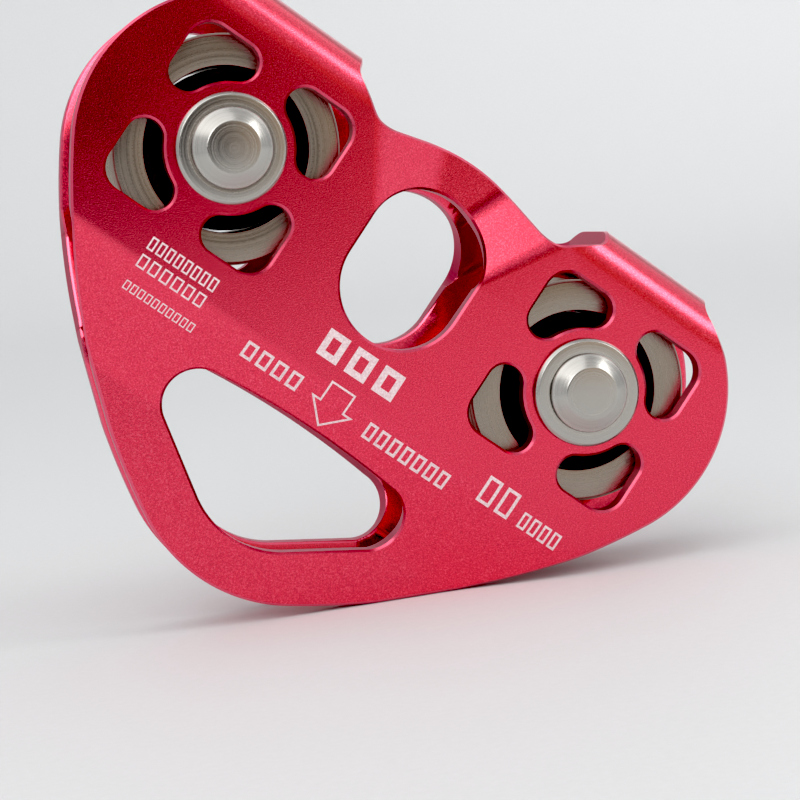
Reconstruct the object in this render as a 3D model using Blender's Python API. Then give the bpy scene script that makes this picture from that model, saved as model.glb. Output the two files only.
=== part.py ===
# Tandem rope pulley: one bent aluminium cheek frame, two ball-bearing sheaves in line.
# Working frame while drawing: u along the line of the axles, y across the cheeks
# (front cheek at -y), w from the connector hole towards the folds. Every finished
# mesh is turned about y so that the pulley stands on its flank land at z = 0.
import math

import bmesh
import bpy
from mathutils import Matrix, Vector
from mathutils.geometry import delaunay_2d_cdt

MM = 0.001

# ---- frame sheet -------------------------------------------------------------
AXLE_SPACING = 60.0        # centre to centre of the two axles
SHEET_T = 3.0              # aluminium sheet
FRAME_WIDTH = 20.8         # over both cheeks at the sheaves
EDGE_BREAK = 0.4           # chamfer on every cut edge of the outer faces
LOBE_R = 21.2              # cheek outline round each axle
FLANK_R = 103.0            # long flank arc
FOOT_R = 23.0              # round below the connector hole
FOOT_BOTTOM = -50.8        # lowest point of the cheek
STAND_ANGLE = 41.0         # slope of the flank land to the axle line, degrees
LAND_HALF = 6.0            # half length of the flank land
STEP_IN = 3.75             # how far each cheek steps towards the middle
STEP_TOP, STEP_END = -19.7, -32.8     # w of the two lower bend lines
BEND_SOFT = 1.2            # half width of a soft bend
FOLD_START = 15.2          # w where the fold over a sheave begins
FOLD_R = 6.0               # outer radius of the fold
STRIP_HALF = 9.0           # half width of the strip folded over a sheave
SHOULDER_OUT_S = 21.3      # developed height where the strip's outer side runs straight
SHOULDER_IN_S = 20.4       # the same for the side next to the notch
SHOULDER_R = 2.5
CREST_TOP = 17.7           # top of the middle lobe
CREST_R = 26.0
NOTCH_U, NOTCH_W = 14.3, 14.8         # bottom of the notch beside a fold
NOTCH_R_IN, NOTCH_R_OUT = 8.0, 3.5
DENT_OUT = (9.3, 5.5, 0.61)           # outer crease of the middle dent: u, w, slope
DENT_IN = (3.3, 11.5, 0.40)           # inner crease of the middle dent
# ---- openings in a cheek -----------------------------------------------------
SLOT_R, SLOT_LOW, SLOT_HIGH = 8.75, -2.2, 3.2
HOLE_TOP, HOLE_ARCH = -26.2, 0.8      # connector hole, top side and its arch
HOLE_APEX = -46.4                     # where its two lower sides would meet
HOLE_SLOPE = 34.0
HOLE_CORNER_R, HOLE_FOOT_R = 4.8, 13.0
WIN_INNER_R = 8.98                    # window side that follows the axle washer
WIN_REACH = 13.0                      # outer straight sides, from the axle
WIN_CORNER_R, WIN_END_R = 3.4, 2.65
WIN_END_C = (10.35, 5.30)
CHEEK_BORE_R = 4.05
# ---- axle, washers, spacers --------------------------------------------------
FIT = 0.25                 # gap between pieces that touch
SHANK_R = 3.75
WASHER_R, WASHER_T, WASHER_BREAK = 7.55, 1.0, 0.4
BOSS_R, BOSS_TOP_R = 5.5, 3.6
BOSS_STEP, BOSS_CONE = 0.35, 1.25
CAP_BORE_R, CAP_BORE_DEPTH = 4.05, 0.8
SPACER_R = 5.9
# ---- sheave ------------------------------------------------------------------
SHEAVE_R, SHEAVE_W = 15.7, 13.2
TREAD_R, GROOVE_HALF = 12.4, 5.5
SHEAVE_BORE_R = 11.25
SHEAVE_BREAK = 0.35
# ---- bearing and its dust covers ---------------------------------------------
BRG_W, BRG_OD_R, BRG_ID_R = 7.0, 11.0, 4.05
BALL_N, BALL_R, PITCH_R = 7, 1.98, 7.5
RACE_GAP = 0.25
INNER_SHOULDER_R, OUTER_SHOULDER_R = 6.15, 8.85
CAGE_R0, CAGE_R1, CAGE_END, CAGE_HORN = 6.75, 8.25, 3.0, -1.0
POCKET_R = 2.3
COVER_R0, COVER_R1, COVER_T, COVER_SINK = 6.3, 10.95, 1.0, 1.0

for old in list(bpy.data.objects):
    bpy.data.objects.remove(old, do_unlink=True)

ARC_LEN = FOLD_R * math.pi / 2
S_TOP = FOLD_START + ARC_LEN                      # end of the fold arc
S_MID = S_TOP + FRAME_WIDTH / 2 - FOLD_R          # middle of the crest
TH = math.radians(STAND_ANGLE)


# ---- plane geometry helpers --------------------------------------------------
def arc(cx, cy, r, a0, a1, step=2.0):
    n = max(2, int(abs(math.radians(a1 - a0)) * r / step + 0.999))
    return [(cx + r * math.cos(math.radians(a0 + (a1 - a0) * i / n)),
             cy + r * math.sin(math.radians(a0 + (a1 - a0) * i / n))) for i in range(n + 1)]


def join(*runs):
    out = []
    for run in runs:
        for p in run:
            if not out or math.dist(p, out[-1]) > 0.05:
                out.append(p)
    return out


def inside(p, loop):
    x, y = p
    hit = False
    for (x0, y0), (x1, y1) in zip(loop, loop[1:] + loop[:1]):
        if (y0 > y) != (y1 > y) and x < (x1 - x0) * (y - y0) / (y1 - y0) + x0:
            hit = not hit
    return hit


def area(loop):
    return sum(a[0] * b[1] - b[0] * a[1] for a, b in zip(loop, loop[1:] + loop[:1])) / 2


def flank_centre():
    # centre of the flank arc, tangent inside to the lobe round and the foot round
    ax, ay, ra = AXLE_SPACING / 2, 0.0, FLANK_R - LOBE_R
    bx, by, rb = 0.0, FOOT_BOTTOM + FOOT_R, FLANK_R - FOOT_R
    d = math.hypot(bx - ax, by - ay)
    a = (ra * ra - rb * rb + d * d) / (2 * d)
    h = math.sqrt(ra * ra - a * a)
    mx, my = ax + a * (bx - ax) / d, ay + a * (by - ay) / d
    ex, ey = (by - ay) / d, -(bx - ax) / d
    c = [(mx + h * ex, my + h * ey), (mx - h * ex, my - h * ey)]
    return min(c, key=lambda p: p[0])


def outer_quarter():
    # from the foot of the front cheek round to the middle of the right fold
    fx, fy = flank_centre()
    hu = AXLE_SPACING / 2
    foot = math.degrees(math.atan2(FOOT_BOTTOM + FOOT_R - fy, 0 - fx))
    lobe = math.degrees(math.atan2(0 - fy, hu - fx))
    land = STAND_ANGLE - 90
    half = math.degrees(math.asin(LAND_HALF / FLANK_R))
    top = math.degrees(math.acos(14.2 / LOBE_R))
    return join(arc(0, FOOT_BOTTOM + FOOT_R, FOOT_R, -90, foot, 2.2),
                arc(fx, fy, FLANK_R, foot, land - half, 4.5),
                arc(fx, fy, FLANK_R, land + half, lobe, 4.5),
                arc(hu, 0, LOBE_R, lobe, top, 2.2),
                arc(hu + STRIP_HALF + SHOULDER_R, SHOULDER_OUT_S, SHOULDER_R, 228, 180, 1.3),
                [(hu + STRIP_HALF, S_MID)])


def notch_quarter():
    # from the middle of the crest lobe over the notch to the middle of the fold
    hu = AXLE_SPACING / 2
    return join(arc(0, CREST_TOP - CREST_R, CREST_R, 90, 73.5, 2.2),
                arc(NOTCH_U, NOTCH_W + NOTCH_R_IN, NOTCH_R_IN, 252.5, 270, 1.3),
                arc(NOTCH_U, NOTCH_W + NOTCH_R_OUT, NOTCH_R_OUT, 270, 309, 1.3),
                arc(hu - STRIP_HALF - SHOULDER_R, SHOULDER_IN_S, SHOULDER_R, -51, 0, 1.3),
                [(hu - STRIP_HALF, S_MID)])


def around(quarter):
    # mirror a quarter (first point on u = 0, last on the crest middle) into a loop
    q = [(u, s - S_MID) for u, s in quarter]
    right = q + [(u, -v) for u, v in reversed(q[:-1])]
    left = [(-u, v) for u, v in reversed(right)]
    return right + left[1:-1]


def window(cu, k):
    ex, ey = WIN_END_C
    tilt = math.degrees(math.atan2(ey, ex))
    c = WIN_REACH - WIN_CORNER_R
    pts = join(arc(ex, ey, WIN_END_R, tilt + 180, 360, 1.7),
               arc(c, c, WIN_CORNER_R, 0, 90, 1.8),
               arc(ey, ex, WIN_END_R, 90, 270 - tilt, 1.7),
               arc(0, 0, WIN_INNER_R, 90 - tilt, tilt, 1.9))[:-1]
    ca, sa = round(math.cos(k * math.pi / 2)), round(math.sin(k * math.pi / 2))
    return [(cu + x * ca - y * sa, x * sa + y * ca) for x, y in pts]


def slot():
    return join(arc(0, SLOT_LOW, SLOT_R, 180, 360, 2.0), arc(0, SLOT_HIGH, SLOT_R, 0, 180, 2.0))


def connector_hole():
    g = HOLE_SLOPE / 2
    gr = math.radians(g)
    apex_u = (HOLE_TOP - HOLE_APEX) / math.tan(math.radians(HOLE_SLOPE))
    d = HOLE_CORNER_R / math.sin(gr)
    cu, cw = apex_u - d * math.cos(gr), HOLE_TOP - d * math.sin(gr)
    foot = HOLE_APEX + HOLE_FOOT_R / math.cos(math.radians(HOLE_SLOPE))
    rise = 2 * math.degrees(math.atan(HOLE_ARCH / cu))
    arch_r = cu / math.sin(math.radians(rise))
    half = join(arc(0, foot, HOLE_FOOT_R, -90, -90 + HOLE_SLOPE, 2.2),
                arc(cu, cw, HOLE_CORNER_R, -90 + HOLE_SLOPE, 90, 1.9),
                arc(0, HOLE_TOP + HOLE_ARCH - arch_r, arch_r, 90 - rise, 90, 4.0))
    return half + [(-u, w) for u, w in reversed(half[1:-1])]


# ---- shape of the bent sheet -------------------------------------------------
def ease(x, soft):
    # 0 before the first bend, 1 past the second, with rounded knees
    run = lambda t: 0.0 if t < -soft else (t if t > soft else (t + soft) ** 2 / (4 * soft))
    return run(x) - run(x - 1)


def dent_x(u, w):
    uo = DENT_OUT[0] + DENT_OUT[2] * (w - DENT_OUT[1])
    ui = DENT_IN[0] + DENT_IN[2] * (w - DENT_IN[1])
    return (uo - abs(u)) / (uo - ui)


DENT_SOFT = 0.14
STEP_SOFT = BEND_SOFT / (STEP_TOP - STEP_END)


def sink(u, w):
    # how far the outer face lies inside its sheave-zone plane
    if w < 0:
        return STEP_IN * ease((STEP_TOP - w) / (STEP_TOP - STEP_END), STEP_SOFT)
    if w > 3.0 and abs(u) < 15.6:
        return STEP_IN * ease(dent_x(u, w), DENT_SOFT)
    return 0.0


def sheet(u, v, h):
    # blank coordinate (u, v) at depth h under the outer face -> working frame
    s = S_MID - abs(v)
    side = -1.0 if v <= 0 else 1.0
    if s <= FOLD_START or abs(u) < NOTCH_U:
        e = 0.02
        n = Vector((-(sink(u + e, s) - sink(u - e, s)) / (2 * e), 1.0,
                    -(sink(u, s + e) - sink(u, s - e)) / (2 * e))).normalized()
        p = Vector((u, sink(u, s), s)) + n * h
    elif s < S_TOP:
        a = (s - FOLD_START) / FOLD_R
        r = FOLD_R - h
        p = Vector((u, FOLD_R - r * math.cos(a), FOLD_START + r * math.sin(a)))
    else:
        p = Vector((u, FOLD_R + s - S_TOP, FOLD_START + FOLD_R - h))
    return Vector((p.x, side * (FRAME_WIDTH / 2 - p.y), p.z))


def stand(p):
    # working frame -> turned onto the flank land
    return Vector((p[0] * math.cos(TH) + p[2] * math.sin(TH), p[1],
                   -p[0] * math.sin(TH) + p[2] * math.cos(TH)))


def crease_tests():
    # each crease: a signed function of (u, v) that is zero on the line, and where it applies
    lines = []
    for side in (-1, 1):
        at = lambda v, side=side: S_MID - side * v
        for base in (STEP_TOP, STEP_END):
            for k in (-1, 0, 1):
                lines.append((lambda u, v, w0=base + k * BEND_SOFT, at=at: at(v) - w0,
                              lambda u, v, side=side: side * v > 0))
        for i in range(7):
            lines.append((lambda u, v, s0=FOLD_START + ARC_LEN * i / 6, at=at: at(v) - s0,
                          lambda u, v, side=side: abs(u) > NOTCH_U and side * v > 0))
        for mir in (-1, 1):
            for x0 in (-DENT_SOFT, 0.0, DENT_SOFT, 1 - DENT_SOFT, 1.0, 1 + DENT_SOFT):
                lines.append((lambda u, v, x0=x0, at=at: dent_x(u, at(v)) - x0,
                              lambda u, v, side=side, mir=mir, at=at:
                              side * v > 0 and mir * u > 0 and at(v) > 3.5 and abs(u) < 15.6))
    return lines


def blank_loops():
    loops = [around(outer_quarter()), around(notch_quarter())]
    cuts = [slot(), connector_hole()]
    for cu in (-AXLE_SPACING / 2, AXLE_SPACING / 2):
        cuts.append(arc(cu, 0, CHEEK_BORE_R, 0, 360, 1.1)[:-1])
        cuts += [window(cu, k) for k in range(4)]
    for cut in cuts:
        loops.append([(u, w - S_MID) for u, w in cut])
        loops.append([(u, S_MID - w) for u, w in cut])
    out = []
    for i, lp in enumerate(loops):
        if (area(lp) > 0) != (i == 0):
            lp = lp[::-1]
        out.append(lp)
    return out


def set_back(loop, d):
    # every point moved into the metal by d (metal lies to the left of the walk)
    out = []
    n = len(loop)
    for i, (x, y) in enumerate(loop):
        (ax, ay), (bx, by) = loop[i - 1], loop[(i + 1) % n]
        t1 = Vector((x - ax, y - ay)).normalized()
        t2 = Vector((bx - x, by - y)).normalized()
        m = Vector((-(t1.y + t2.y), t1.x + t2.x)).normalized()
        k = d / max(0.6, m.dot(Vector((-t1.y, t1.x))))
        out.append((x + m.x * k, y + m.y * k))
    return out


def split_at(loop, lines):
    # add a point wherever the set-back loop crosses a crease, unless one is near
    cap = set_back(loop, EDGE_BREAK)
    new = []
    n = len(loop)
    for i in range(n):
        j = (i + 1) % n
        new.append(loop[i])
        ts = []
        for fn, ok in lines:
            a, b = fn(*cap[i]), fn(*cap[j])
            if a * b < 0:
                t = a / (a - b)
                q = (cap[i][0] + t * (cap[j][0] - cap[i][0]), cap[i][1] + t * (cap[j][1] - cap[i][1]))
                if ok(*q):
                    ts.append(t)
        seg = math.dist(loop[i], loop[j])
        last = 0.0
        for t in sorted(ts):
            if (t - last) * seg > 0.35 and (1 - t) * seg > 0.35:
                new.append((loop[i][0] + t * (loop[j][0] - loop[i][0]),
                            loop[i][1] + t * (loop[j][1] - loop[i][1])))
                last = t
    return new


def keep_metal(tris, pts, border):
    # the triangles on the left of the border walk, and all that join them
    walk = set(border)
    for t in tris:
        a, b, c = (pts[i] for i in t)
        if (b.x - a.x) * (c.y - a.y) - (b.y - a.y) * (c.x - a.x) < 0:
            t.reverse()
    owner = {}
    for k, t in enumerate(tris):
        for e in zip(t, t[1:] + t[:1]):
            owner[e] = k
    todo = [owner[e] for e in walk]
    keep = set(todo)
    while todo:
        t = tris[todo.pop()]
        for a, b in zip(t, t[1:] + t[:1]):
            if (a, b) not in walk and (b, a) in owner and owner[(b, a)] not in keep:
                keep.add(owner[(b, a)])
                todo.append(owner[(b, a)])
    return [tris[k] for k in sorted(keep)]


def frame_mesh():
    lines = crease_tests()
    walls = [split_at(lp, lines) for lp in blank_loops()]
    caps = [set_back(lp, EDGE_BREAK) for lp in walls]
    flat, start = [], []
    for lp in caps:
        start.append(len(flat))
        flat += lp
    edges = []
    for s0, lp in zip(start, caps):
        edges += [(s0 + i, s0 + (i + 1) % len(lp)) for i in range(len(lp))]
    in_metal = lambda p: inside(p, caps[0]) and not any(inside(p, c) for c in caps[1:])
    done = set(tuple(sorted(e)) for e in edges)
    for fn, ok in lines:
        on = []
        for s0, lp in zip(start, caps):
            n = len(lp)
            for i in range(n):
                a, b = fn(*lp[i]), fn(*lp[(i + 1) % n])
                if a * b <= 0 and a != b:
                    k = i if abs(a) < abs(b) else (i + 1) % n
                    if ok(*lp[k]):
                        on.append(s0 + k)
        on = sorted(set(on), key=lambda i: (round(flat[i][0], 4), flat[i][1]))
        for i, j in zip(on, on[1:]):
            e = tuple(sorted((i, j)))
            m = ((flat[i][0] + flat[j][0]) / 2, (flat[i][1] + flat[j][1]) / 2)
            q1 = (flat[i][0] * 0.9 + flat[j][0] * 0.1, flat[i][1] * 0.9 + flat[j][1] * 0.1)
            q2 = (flat[i][0] * 0.1 + flat[j][0] * 0.9, flat[i][1] * 0.1 + flat[j][1] * 0.9)
            if e not in done and in_metal(m) and in_metal(q1) and in_metal(q2) \
                    and abs(fn(*m)) < 0.2 and math.dist(flat[i], flat[j]) > 0.3:
                edges.append(e)
                done.add(e)
    res = delaunay_2d_cdt([Vector(p) for p in flat], edges, [], 0, 1e-5)
    pts, tris, origin = res[0], res[2], res[3]
    back = [min(o) if o else None for o in origin]
    tris = keep_metal([list(t) for t in tris], pts, edges[:len(flat)])

    bm = bmesh.new()
    depth = (0.0, EDGE_BREAK, SHEET_T)
    rows = [[], [], []]                    # outer cap, outer wall edge, inner face
    for lc, lw in zip(caps, walls):
        for (cu, cv), (wu, wv) in zip(lc, lw):
            rows[0].append(bm.verts.new(stand(sheet(cu, cv, depth[0]))))
            rows[1].append(bm.verts.new(stand(sheet(wu, wv, depth[1]))))
            rows[2].append(bm.verts.new(stand(sheet(wu, wv, depth[2]))))
    extra = {}

    def cap_vert(i, row):
        if back[i] is not None:
            return rows[row][back[i]]
        if (i, row) not in extra:
            extra[(i, row)] = bm.verts.new(stand(sheet(pts[i].x, pts[i].y, depth[row])))
        return extra[(i, row)]

    for t in tris:
        bm.faces.new([cap_vert(i, 0) for i in t])
        bm.faces.new([cap_vert(i, 2) for i in reversed(t)])
    for s0, lp in zip(start, caps):
        n = len(lp)
        for i in range(n):
            a, b = s0 + i, s0 + (i + 1) % n
            for r in (0, 1):
                bm.faces.new((rows[r][b], rows[r][a], rows[r + 1][a], rows[r + 1][b]))
    bmesh.ops.recalc_face_normals(bm, faces=bm.faces)
    bmesh.ops.triangulate(bm, faces=bm.faces)
    if bm.calc_volume(signed=True) < 0:
        bmesh.ops.reverse_faces(bm, faces=bm.faces)
    return bm


# ---- turned pieces -----------------------------------------------------------
def turned(profile, cu, segments, cy=0.0, flip=1.0):
    # profile: closed list of (radius, y); radius 0 points close on the axis
    bm = bmesh.new()
    rings = []
    for r, y in profile:
        y = cy + flip * y
        if r < 1e-6:
            rings.append([bm.verts.new(stand((cu, y, 0)))])
        else:
            rings.append([bm.verts.new(stand((cu + r * math.cos(2 * math.pi * i / segments), y,
                                              r * math.sin(2 * math.pi * i / segments))))
                          for i in range(segments)])
    for a, b in zip(rings, rings[1:] + rings[:1]):
        if len(a) == 1 and len(b) == 1:
            continue
        for i in range(segments):
            j = (i + 1) % segments
            f = [a[i % len(a)], a[j % len(a)], b[j % len(b)], b[i % len(b)]]
            bm.faces.new(list(dict.fromkeys(f)))
    bmesh.ops.recalc_face_normals(bm, faces=bm.faces)
    if bm.calc_volume(signed=True) < 0:
        bmesh.ops.reverse_faces(bm, faces=bm.faces)
    return bm


def ring(r0, r1, y0, y1, c=0.0):
    if c <= 0:
        return [(r0, y0), (r1, y0), (r1, y1), (r0, y1)]
    return [(r0, y0), (r1 - c, y0), (r1, y0 + c), (r1, y1 - c), (r1 - c, y1), (r0, y1)]


def groove_arc(half, depth, rim_r, n, sign):
    # circular groove between y = -half and +half, sunk (sign -1) or seen from inside (+1)
    rad = (half * half + depth * depth) / (2 * depth)
    a = math.asin(half / rad)
    return [(rim_r + sign * (rad * math.cos(-a + 2 * a * i / n) - (rad - depth)),
             rad * math.sin(-a + 2 * a * i / n)) for i in range(n + 1)]


def sheave_profile():
    h, b = SHEAVE_W / 2, SHEAVE_BREAK
    groove = groove_arc(GROOVE_HALF, SHEAVE_R - TREAD_R, SHEAVE_R, 7, -1)
    return ([(SHEAVE_BORE_R, -h), (SHEAVE_R - b, -h), (SHEAVE_R, -h + b)] + groove +
            [(SHEAVE_R, h - b), (SHEAVE_R - b, h), (SHEAVE_BORE_R, h)])


def race_profiles():
    h = BRG_W / 2
    g = BALL_R + RACE_GAP
    inner_edge = math.sqrt(g * g - (PITCH_R - INNER_SHOULDER_R) ** 2)
    outer_edge = math.sqrt(g * g - (OUTER_SHOULDER_R - PITCH_R) ** 2)
    gi = groove_arc(inner_edge, INNER_SHOULDER_R - (PITCH_R - g), INNER_SHOULDER_R, 4, -1)
    go = groove_arc(outer_edge, (PITCH_R + g) - OUTER_SHOULDER_R, OUTER_SHOULDER_R, 4, 1)
    inner = [(BRG_ID_R, -h), (INNER_SHOULDER_R, -h)] + gi + [(INNER_SHOULDER_R, h), (BRG_ID_R, h)]
    outer = [(BRG_OD_R, h), (OUTER_SHOULDER_R, h)] + go[::-1] + [(OUTER_SHOULDER_R, -h), (BRG_OD_R, -h)]
    return inner, outer


def cage_mesh(cu):
    # crown cage: full ring on one side, horns between the balls
    bm = bmesh.new()
    half = math.asin(POCKET_R * 0.98 / PITCH_R)
    cols = []
    for k in range(BALL_N):
        mid = 2 * math.pi * k / BALL_N
        for i in range(7):
            a = -half + 2 * half * i / 6
            x = PITCH_R * math.sin(a)
            cols.append((mid + a, math.sqrt(max(0.0, POCKET_R ** 2 - x * x))))
        for f in (0.04, 0.96):
            cols.append((mid + half + (2 * math.pi / BALL_N - 2 * half) * f, CAGE_HORN))
    rows = []
    for ang, low in cols:
        c, s = math.cos(ang), math.sin(ang)
        rows.append([bm.verts.new(stand((cu + r * c, y, r * s)))
                     for r, y in ((CAGE_R0, low), (CAGE_R1, low), (CAGE_R1, CAGE_END),
                                  (CAGE_R0, CAGE_END))])
    n = len(rows)
    for i in range(n):
        a, b = rows[i], rows[(i + 1) % n]
        for k in range(4):
            bm.faces.new((a[k], a[(k + 1) % 4], b[(k + 1) % 4], b[k]))
    bmesh.ops.recalc_face_normals(bm, faces=bm.faces)
    if bm.calc_volume(signed=True) < 0:
        bmesh.ops.reverse_faces(bm, faces=bm.faces)
    return bm


def ball_mesh(cu, k):
    bm = bmesh.new()
    a = 2 * math.pi * k / BALL_N
    c = stand((cu + PITCH_R * math.cos(a), 0, PITCH_R * math.sin(a)))
    bmesh.ops.create_icosphere(bm, subdivisions=2, radius=BALL_R, matrix=Matrix.Translation(c))
    return bm


# ---- materials and objects ---------------------------------------------------
def material(name, colour, metallic, rough):
    m = bpy.data.materials.new(name)
    m.use_nodes = True
    b = m.node_tree.nodes["Principled BSDF"]
    b.inputs["Base Color"].default_value = (*colour, 1)
    b.inputs["Metallic"].default_value = metallic
    b.inputs["Roughness"].default_value = rough
    return m


MATS = {
    "anodised": ((0.60, 0.02, 0.07), 1.0, 0.38),
    "axle_steel": ((0.62, 0.61, 0.58), 1.0, 0.28),
    "stainless": ((0.50, 0.47, 0.43), 1.0, 0.34),
    "race_steel": ((0.66, 0.66, 0.66), 1.0, 0.18),
    "ball_steel": ((0.76, 0.76, 0.77), 1.0, 0.08),
    "cage_polymer": ((0.25, 0.22, 0.16), 0.0, 0.5),
    "cover_rubber": ((0.012, 0.012, 0.013), 0.0, 0.62),
    "spacer_steel": ((0.42, 0.42, 0.43), 1.0, 0.35),
}
made = []


def add(name, bm, kind, axle_u=None):
    # axle_u: place of the axle that the piece sits on, which becomes its origin
    me = bpy.data.meshes.new(name)
    bmesh.ops.scale(bm, vec=(MM, MM, MM), verts=bm.verts)
    bm.to_mesh(me)
    bm.free()
    ob = bpy.data.objects.new(name, me)
    bpy.context.scene.collection.objects.link(ob)
    me.materials.append(material(name + "_" + kind, *MATS[kind]))
    made.append((ob, axle_u))


FACE = FRAME_WIDTH / 2                 # outer face of a cheek, from the middle
INNER = FACE - SHEET_T                 # inner face of a cheek

add("frame", frame_mesh(), "anodised")

for tag, cu in (("a", -AXLE_SPACING / 2), ("b", AXLE_SPACING / 2)):
    # washers, one under each axle head
    w0, w1 = FACE + FIT, FACE + FIT + WASHER_T
    washer = [(CHEEK_BORE_R, w0), (WASHER_R, w0), (WASHER_R, w1 - WASHER_BREAK),
              (WASHER_R - WASHER_BREAK, w1), (CHEEK_BORE_R, w1)]
    add("washer_%s_front" % tag, turned(washer, cu, 28, flip=-1.0), "axle_steel", cu)
    add("washer_%s_rear" % tag, turned(washer, cu, 28), "axle_steel", cu)
    # axle: shank with its own head at the front
    h0 = w1 + FIT
    h1, h2 = h0 + BOSS_STEP, h0 + BOSS_STEP + BOSS_CONE
    tip = h0 + CAP_BORE_DEPTH - FIT
    axle = [(0, h2), (BOSS_TOP_R, h2), (BOSS_R, h1), (BOSS_R, h0), (SHANK_R, h0),
            (SHANK_R, -tip + 0.4), (SHANK_R - 0.4, -tip), (0, -tip)]
    add("axle_%s" % tag, turned(axle, cu, 32, flip=-1.0), "axle_steel", cu)
    # cap screwed on the rear end of the shank
    cap = [(0, h2), (BOSS_TOP_R, h2), (BOSS_R, h1), (BOSS_R, h0), (CAP_BORE_R, h0),
           (CAP_BORE_R, h0 + CAP_BORE_DEPTH), (0, h0 + CAP_BORE_DEPTH)]
    add("axle_cap_%s" % tag, turned(cap, cu, 32), "axle_steel", cu)
    # spacers between the cheeks and the inner race
    spacer = ring(CHEEK_BORE_R, SPACER_R, BRG_W / 2 + FIT, INNER - FIT)
    add("spacer_%s_front" % tag, turned(spacer, cu, 28, flip=-1.0), "spacer_steel", cu)
    add("spacer_%s_rear" % tag, turned(spacer, cu, 28), "spacer_steel", cu)
    # sheave and its bearing
    add("sheave_%s" % tag, turned(sheave_profile(), cu, 48), "stainless", cu)
    inner, outer = race_profiles()
    add("inner_race_%s" % tag, turned(inner, cu, 32), "race_steel", cu)
    add("outer_race_%s" % tag, turned(outer, cu, 36), "race_steel", cu)
    add("cage_%s" % tag, cage_mesh(cu), "cage_polymer", cu)
    for k in range(BALL_N):
        add("ball_%s_%d" % (tag, k + 1), ball_mesh(cu, k), "ball_steel", cu)
    c1 = SHEAVE_W / 2 - COVER_SINK
    cover = ring(COVER_R0, COVER_R1, c1 - COVER_T, c1)
    add("cover_%s_front" % tag, turned(cover, cu, 36, flip=-1.0), "cover_rubber", cu)
    add("cover_%s_rear" % tag, turned(cover, cu, 36), "cover_rubber", cu)

# ---- stand on z = 0, centred over the origin ---------------------------------
lo = [min(v.co[i] for ob, _ in made for v in ob.data.vertices) for i in range(3)]
hi = [max(v.co[i] for ob, _ in made for v in ob.data.vertices) for i in range(3)]
move = Vector((-(lo[0] + hi[0]) / 2, -(lo[1] + hi[1]) / 2, -lo[2]))
for ob, axle_u in made:
    if axle_u is not None:
        ob.location = Vector(stand((axle_u, 0, 0))) * MM + move
    ob.data.transform(Matrix.Translation(move - ob.location))
    ob.data.update()
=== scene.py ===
# Tandem rope pulley: looks. The bent cheek frame is made again as one sheet with soft bends
# and broken edges, and every turned piece is spun from its profile, in place of the CAD nodes.
# The bearing rings, cages and balls stay as CAD nodes and only get their finishes here.
import math

import bmesh
import bpy
from mathutils import Matrix, Vector

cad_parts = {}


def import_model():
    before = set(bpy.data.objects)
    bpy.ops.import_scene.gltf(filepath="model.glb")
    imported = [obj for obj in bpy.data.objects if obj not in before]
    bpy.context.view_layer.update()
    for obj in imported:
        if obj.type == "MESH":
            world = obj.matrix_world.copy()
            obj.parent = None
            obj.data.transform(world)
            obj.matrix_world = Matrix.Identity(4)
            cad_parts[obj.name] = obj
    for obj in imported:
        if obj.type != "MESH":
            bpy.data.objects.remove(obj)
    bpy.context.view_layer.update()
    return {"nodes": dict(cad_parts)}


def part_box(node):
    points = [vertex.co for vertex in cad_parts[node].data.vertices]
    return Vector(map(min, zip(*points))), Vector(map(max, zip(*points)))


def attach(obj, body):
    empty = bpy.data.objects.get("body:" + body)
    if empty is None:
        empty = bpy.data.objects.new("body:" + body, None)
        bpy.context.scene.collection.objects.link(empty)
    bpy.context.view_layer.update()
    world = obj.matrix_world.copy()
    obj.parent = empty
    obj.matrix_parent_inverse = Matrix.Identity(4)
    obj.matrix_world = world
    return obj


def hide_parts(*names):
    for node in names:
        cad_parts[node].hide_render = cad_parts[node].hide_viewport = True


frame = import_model()

MM = 0.001

# ---- drawing frame: u along the axles' line, y across the cheeks, w up to the folds, in mm ----


def middle(node):
    low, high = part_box(node)
    return (Vector(low) + Vector(high)) / 2


AXLE = {"a": middle("sheave_a"), "b": middle("sheave_b")}
ALONG = (AXLE["b"] - AXLE["a"]).normalized()
ACROSS = Vector((0.0, 1.0, 0.0))
UP = ALONG.cross(ACROSS)
DRAWN = Matrix((ALONG, ACROSS, UP)).transposed().to_4x4()
DRAWN.translation = (AXLE["a"] + AXLE["b"]) / 2
DRAWN = DRAWN @ Matrix.Scale(MM, 4)
HALF_SPAN = (AXLE["b"] - AXLE["a"]).length / 2 / MM
AXLE_U = {"a": -HALF_SPAN, "b": HALF_SPAN}

# ---- sizes of the frame sheet, in mm and degrees; w is a height, s a developed height ----
SHEET_T = 3.0                       # aluminium sheet
FRAME_WIDTH = 20.8                  # over both cheeks at the sheaves
EDGE_BREAK = 0.34                   # machined break of the outer edges
INNER_BREAK = 0.2                   # the same inside
LOBE_R = 21.2                       # outline round each axle
FLANK_R = 103.0                     # long flank
FOOT_R = 23.0                       # round below the connector hole
FOOT_BOTTOM = -50.8
STAND_ANGLE = 41.0                  # slope of the land that the pulley stands on
LAND_HALF = 6.0
STEP_IN = 3.75                      # how far each cheek steps inwards below the sheaves
STEP_TOP, STEP_END = -20.3, -32.8
BEND_SOFT = 1.9                     # half width of a bend
FOLD_START, FOLD_R = 15.2, 6.0      # fold over a sheave
STRIP_HALF = 9.0                    # half width of the folded strip
SHOULDER_OUT, SHOULDER_IN, SHOULDER_R = 21.3, 20.4, 2.5
CREST_TOP, CREST_R = 17.7, 26.0
NOTCH_U, NOTCH_W = 14.3, 14.8
NOTCH_R_IN, NOTCH_R_OUT = 8.0, 3.5
DENT_OUT = (9.3, 5.5, 0.61)         # a crease of the middle lobe: u at a w, and its slope
DENT_IN = (3.3, 11.5, 0.40)
DENT_SOFT = 0.14                    # half width of a crease, as a share of the dent's side
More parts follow.
